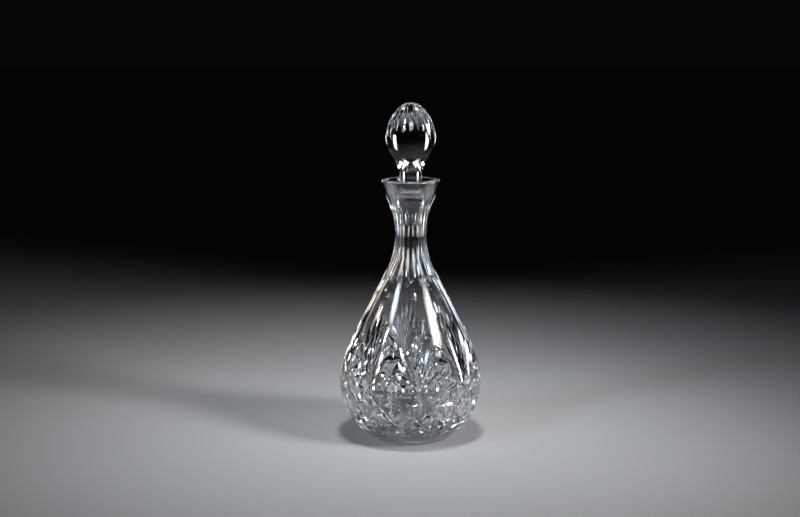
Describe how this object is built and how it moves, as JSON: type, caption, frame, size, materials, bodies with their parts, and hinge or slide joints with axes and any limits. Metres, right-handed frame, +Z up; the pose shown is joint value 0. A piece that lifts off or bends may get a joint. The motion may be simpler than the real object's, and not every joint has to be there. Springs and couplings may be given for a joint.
{
  "type": "wine decanter",
  "caption": "Teardrop cut-crystal wine decanter with a fluted neck, flared pouring mouth and a solid egg-shaped ground stopper that lifts out.",
  "frame": {"origin": "centre of the flat base, on the surface the decanter stands on", "axes": "+Z up along the decanter's axis, from the base to the stopper; -Y is the front, where one cut fan is centred a few degrees to the side"},
  "size_m": [0.132, 0.132, 0.31],
  "materials": {
    "lead_crystal": "acid-polished clear crystal, cool white, with sharp mitre cuts"
  },
  "bodies": {
    "vessel": {"decanter_body": "lead_crystal"},
    "stopper": {"stopper": "lead_crystal"}
  },
  "joints": [
    {"name": "stopper_lift", "type": "slide", "parent": "vessel", "child": "stopper", "axis": [0, 0, 1], "range_m": [0, 0.062]}
  ]
}
